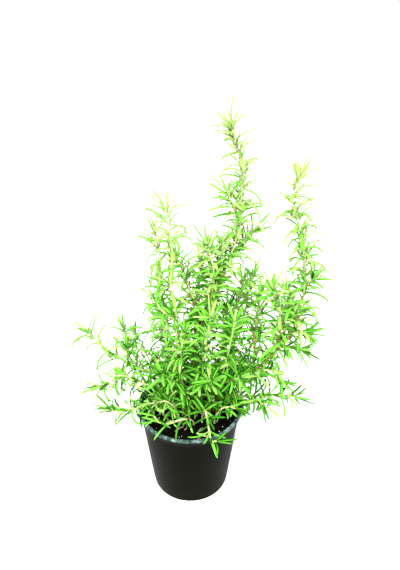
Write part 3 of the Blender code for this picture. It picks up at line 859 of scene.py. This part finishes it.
def grow_plant():
    """Every stem's needles and bark."""
    needle_paint = needle_material()
    barks = {kind: bark_material(kind) for kind in BARKS}
    dice = random.Random(7)
    thicket = Thicket()
    grown = {name: shoots_of(name) for name in STEMS}
    for name, shoots in grown.items():
        for shoot in shoots:
            count = int(shoot.length / LINE_STEP)
            line = [shoot.at(shoot.length * step / count)[0] for step in range(count + 1)]
            thicket.add(line, shoot.foot_half, name, shoot.name)
    for name, shoots in grown.items():
        _, bark, _, bare, _ = STEMS[name]
        needles = Needles()
        joints = {}
        for shoot in shoots:
            if shoot.name == "main":
                first = PLANTING_DEPTH + BARE_SHARE * bare * MM
            else:
                first = BRANCH_BARE
            joints[shoot.name] = grow_shoot(needles, thicket, name, shoot, first, dice)
        on_plant(needles.build(name, needle_paint), "rosemary_foliage", name)
        on_plant(bark_mesh(name, shoots, joints, barks[bark], dice), "rosemary_foliage", name)


# ---------------------------------------------------------------- soil and pot

def capped_faces(rows, steps):
    """Faces of a closed form: a bottom point, rows of so many steps round, and a top point."""
    faces = []
    top = 1 + rows * steps
    for step in range(steps):
        after = (step + 1) % steps
        faces.append((0, 1 + after, 1 + step))
        for row in range(rows - 1):
            low, high = 1 + row * steps, 1 + (row + 1) * steps
            faces.append((low + step, low + after, high + after, high + step))
        faces.append((top - steps + step, top - steps + after, top))
    return faces


def turned(name, profile, steps, material):
    """A solid turned about Z from (radius, height) points whose ends lie on the axis."""
    verts = [Vector((0, 0, profile[0][1]))]
    for radius, height in profile[1:-1]:
        for step in range(steps):
            turn = 2 * math.pi * step / steps
            verts.append(Vector((radius * math.cos(turn), radius * math.sin(turn), height)))
    verts.append(Vector((0, 0, profile[-1][1])))
    return mesh_object(name, verts, capped_faces(len(profile) - 2, steps), material)


def wall_radius(height):
    """The pot's outside radius at a height."""
    return BASE_RADIUS + (WALL_TOP_RADIUS - BASE_RADIUS) * height / POT_HEIGHT


def arc(centre, radius, start, end, count):
    """Points on an arc of a profile, from one angle in degrees to another."""
    spots = []
    for step in range(count + 1):
        turn = math.radians(start + (end - start) * step / count)
        spots.append((centre[0] + radius * math.cos(turn), centre[1] + radius * math.sin(turn)))
    return spots


def make_pot():
    """The tapered pot with a rounded foot, a rolled lip and drainage holes."""
    lip_foot = POT_HEIGHT - LIP_HEIGHT
    inner_top = WALL_TOP_RADIUS - WALL
    profile = [(0, 0)]
    profile += [((BASE_RADIUS - FOOT_ROUND) * share, 0) for share in (0.3, 0.6, 0.85)]
    profile += arc((BASE_RADIUS - FOOT_ROUND, FOOT_ROUND), FOOT_ROUND, -90, 0, 5)
    for ring in range(1, WALL_RINGS + 1):
        height = FOOT_ROUND + (lip_foot - FOOT_ROUND) * ring / WALL_RINGS
        profile.append((wall_radius(height), height))
    profile += arc((RIM_RADIUS - BEAD, lip_foot + BEAD), BEAD, -90, 0, 4)
    profile += arc((RIM_RADIUS - BEAD, POT_HEIGHT - BEAD), BEAD, 0, 90, 4)
    profile += arc((inner_top + BEAD, POT_HEIGHT - BEAD), BEAD, 90, 180, 4)
    inner_foot = FLOOR + FOOT_ROUND
    for ring in range(WALL_RINGS + 1):
        height = lip_foot - (lip_foot - inner_foot) * ring / WALL_RINGS
        profile.append((wall_radius(height) - WALL, height))
    floor_edge = BASE_RADIUS - WALL - FOOT_ROUND
    profile += arc((floor_edge, inner_foot), FOOT_ROUND, -10, -90, 4)
    profile += [(floor_edge * share, FLOOR) for share in (0.85, 0.6, 0.3)] + [(0, FLOOR)]
    pot = turned("nursery_pot", profile, POT_SIDES, pot_material())
    cut_holes(pot)
    return on_plant(pot, "pot_plastic", "pot")


def cut_holes(pot):
    """Cuts the drainage holes out of the pot's base."""
    sides = HOLE_SIDES
    verts = []
    faces = []
    for index in range(HOLE_COUNT):
        angle = 2 * math.pi * (index + 0.5) / HOLE_COUNT
        x, y = HOLE_CIRCLE * math.cos(angle), HOLE_CIRCLE * math.sin(angle)
        first = len(verts)
        for height in (-2 * FLOOR, 3 * FLOOR):
            for step in range(sides):
                turn = 2 * math.pi * step / sides
                verts.append(Vector((
                    x + HOLE_RADIUS * math.cos(turn), y + HOLE_RADIUS * math.sin(turn), height
                )))
        for step in range(sides):
            after = (step + 1) % sides
            faces.append((first + step, first + after, first + sides + after, first + sides + step))
        faces.append(tuple(range(first + sides - 1, first - 1, -1)))
        faces.append(tuple(range(first + sides, first + 2 * sides)))
    cutter = mesh_object("hole_cutter", verts, faces, pot.data.materials[0])
    boolean = pot.modifiers.new("holes", "BOOLEAN")
    boolean.operation = "DIFFERENCE"
    boolean.object = cutter
    bake_modifiers(pot)
    bpy.data.objects.remove(cutter)


def bake_modifiers(piece):
    """Replaces a piece's mesh by its evaluated one."""
    graph = bpy.context.evaluated_depsgraph_get()
    mesh = bpy.data.meshes.new_from_object(piece.evaluated_get(graph))
    piece.modifiers.clear()
    piece.data = mesh


def soil_height(x, y):
    """The soil's surface: lumpy, and lower at the wall than in the middle."""
    radius = math.hypot(x, y)
    base = SOIL_EDGE + (SOIL_CROWN - SOIL_EDGE) * max(0.0, 1 - radius / SOIL_RADIUS)
    here = Vector((x, y, 0))
    lumps = 1.6 * noise.fractal(here * 55, 0.8, 2.1, 4) + 0.8 * noise.noise(here * 320)
    return base + lumps * MM - 0.6 * MM


def make_soil():
    """The body of soil, with a lumpy top."""
    side = [(wall_radius(0) - 4 * MM, SOIL_FOOT), (wall_radius(3 * MM) - 2 * MM, SOIL_FOOT + 2 * MM)]
    side += [(SOIL_REACH, SOIL_EDGE - 2 * MM)]
    rings = [(radius, height, False) for radius, height in side]
    for row in range(SOIL_RINGS, 0, -1):
        rings.append((SOIL_REACH * row / SOIL_RINGS, 0.0, True))
    verts = [Vector((0, 0, SOIL_FOOT))]
    for radius, height, on_top in rings:
        for step in range(SOIL_SIDES):
            turn = 2 * math.pi * step / SOIL_SIDES
            x, y = radius * math.cos(turn), radius * math.sin(turn)
            verts.append(Vector((x, y, soil_height(x, y) if on_top else height)))
    verts.append(Vector((0, 0, soil_height(0, 0))))
    peat = soil_material("peat", (0.0002, 0.0003, 0.0001), (0.0045, 0.0045, 0.0014), 420)
    soil = mesh_object("potting_soil", verts, capped_faces(len(rings), SOIL_SIDES), peat)
    return on_plant(soil, "potting_soil", "soil")


def crumb(centre, size, dice):
    """A rough closed lump: its vertices and faces."""
    spin = Quaternion((dice.gauss(0, 1), dice.gauss(0, 1), dice.gauss(0, 1), dice.gauss(0, 1)))
    spin.normalize()
    seed = Vector((dice.uniform(0, 50), dice.uniform(0, 50), 0))
    squash = Vector((1, dice.uniform(0.6, 1), dice.uniform(0.5, 0.9)))
    places = [Vector((0, 0, -1))]
    for row in range(1, CRUMB_ROWS):
        tilt = math.pi * row / CRUMB_ROWS - math.pi / 2
        for col in range(CRUMB_COLS):
            turn = 2 * math.pi * col / CRUMB_COLS
            flat = math.cos(tilt)
            places.append(Vector((flat * math.cos(turn), flat * math.sin(turn), math.sin(tilt))))
    places.append(Vector((0, 0, 1)))
    verts = []
    for place in places:
        lump = 1 + 0.45 * noise.noise(place * 1.6 + seed)
        verts.append(centre + spin @ (place * squash * lump) * size)
    return verts, capped_faces(CRUMB_ROWS - 1, CRUMB_COLS)


def gathered(name, lumps, material):
    """Joins several (verts, faces) into one object."""
    verts, faces = [], []
    for some_verts, some_faces in lumps:
        first = len(verts)
        verts += some_verts
        faces += [tuple(first + corner for corner in face) for face in some_faces]
    return mesh_object(name, verts, faces, material)


def spot_on_soil(dice, most):
    """A random place on the soil's surface, within a share of its radius."""
    radius = SOIL_RADIUS * most * math.sqrt(dice.random())
    turn = dice.uniform(0, 2 * math.pi)
    x, y = radius * math.cos(turn), radius * math.sin(turn)
    return Vector((x, y, soil_height(x, y)))


def shed_needle(foot, length, bend, dice):
    """A dry needle lying on the soil, curled in its plane by so many degrees."""
    turn = dice.uniform(0, 2 * math.pi)
    direction = Vector((math.cos(turn), math.sin(turn), 0))
    upright = Vector((0, 0, 1))
    width = dice.uniform(1.0, 1.7) * MM
    points, directions = needle_line(
        foot, direction, upright, length * MM, math.radians(bend), 0, LONG_STATIONS
    )
    for point in points:
        point.z = soil_height(point.x, point.y) + 1.3 * MM
    sideways = Vector((-direction.y, direction.x, 0.5)).normalized()
    verts = needle_verts(points, directions, sideways, width, 0.5 * width, 0)
    return verts, PATTERNS[LONG_STATIONS][0]


def make_litter():
    """What lies on the soil: peat crumbs, pale grit and shed needles."""
    dice = random.Random(5)
    crumbs = [
        crumb(spot_on_soil(dice, 0.95), dice.uniform(0.5, 1.9) * MM, dice) for _ in range(CRUMBS)
    ]
    peat = soil_material("peat_crumb", (0.0006, 0.0008, 0.0003), (0.012, 0.010, 0.004), 600)
    on_plant(gathered("soil_crumbs", crumbs, peat), "potting_soil")
    grit = [crumb(spot_on_soil(dice, 0.93), dice.uniform(0.5, 1.0) * MM, dice) for _ in range(GRIT)]
    pale = soil_material("pale_grit", (0.45, 0.42, 0.36), (0.30, 0.27, 0.22), 500)
    on_plant(gathered("soil_grit", grit, pale), "potting_soil")
    shed = [
        shed_needle(spot_on_soil(dice, 0.84), dice.uniform(7, 17), dice.uniform(-60, 90), dice)
        for _ in range(SHED_NEEDLES)
    ]
    shed += [shed_needle(Vector((x * MM, y * MM, 0)), 22, 270, dice) for x, y in CURLS]
    straw = soil_material("dry_needle", (0.24, 0.19, 0.10), (0.52, 0.46, 0.30), 300)
    on_plant(gathered("shed_needles", shed, straw), "potting_soil")


# ---------------------------------------------------------------- stage

def make_camera():
    """The photograph's view: from in front, 28 degrees down."""
    data = bpy.data.cameras.new("camera")
    data.lens = LENS
    data.sensor_width = 36
    camera = bpy.data.objects.new("camera", data)
    camera.location = CAMERA_PLACE
    camera.rotation_euler = (math.radians(CAMERA_TILT), 0, 0)
    bpy.context.scene.collection.objects.link(camera)
    bpy.context.scene.camera = camera


def make_floor():
    """A large pale floor."""
    paint = Paint("floor_paint")
    cloud = paint.noise(paint.place(), 3, 2.0)
    colour = paint.mix(cloud, (0.86, 0.86, 0.86), (0.90, 0.90, 0.90))
    material = paint.finish(colour, 0.8)
    corners = ((-1, -1), (1, -1), (1, 1), (-1, 1))
    verts = [Vector((x * FLOOR_REACH, y * FLOOR_REACH, 0)) for x, y in corners]
    floor = mesh_object("floor", verts, [(0, 1, 2, 3)], material)


def make_lights():
    """A white room that lights softly, and a broad key light from the front left."""
    world = bpy.data.worlds.new("white_room")
    world.use_nodes = True
    tree = world.node_tree
    background = tree.nodes["Background"]
    background.inputs["Color"].default_value = (1, 1, 1, 1)
    seen = tree.nodes.new("ShaderNodeLightPath").outputs["Is Camera Ray"]
    strength = tree.nodes.new("ShaderNodeMapRange")
    strength.inputs["To Min"].default_value = AMBIENT
    strength.inputs["To Max"].default_value = BACKDROP
    tree.links.new(seen, strength.inputs["Value"])
    tree.links.new(strength.outputs["Result"], background.inputs["Strength"])
    bpy.context.scene.world = world
    key = bpy.data.lights.new("key", "SUN")
    key.energy = KEY_STRENGTH
    key.angle = math.radians(60)
    holder = bpy.data.objects.new("key", key)
    holder.rotation_euler = (math.radians(34), 0, math.radians(-10))
    bpy.context.scene.collection.objects.link(holder)


def main():
    """Builds the stage and the plant."""
    make_camera()
    make_lights()
    make_floor()
    make_pot()
    make_soil()
    make_litter()
    grow_plant()
    bpy.context.scene.view_settings.view_transform = "Standard"


main()
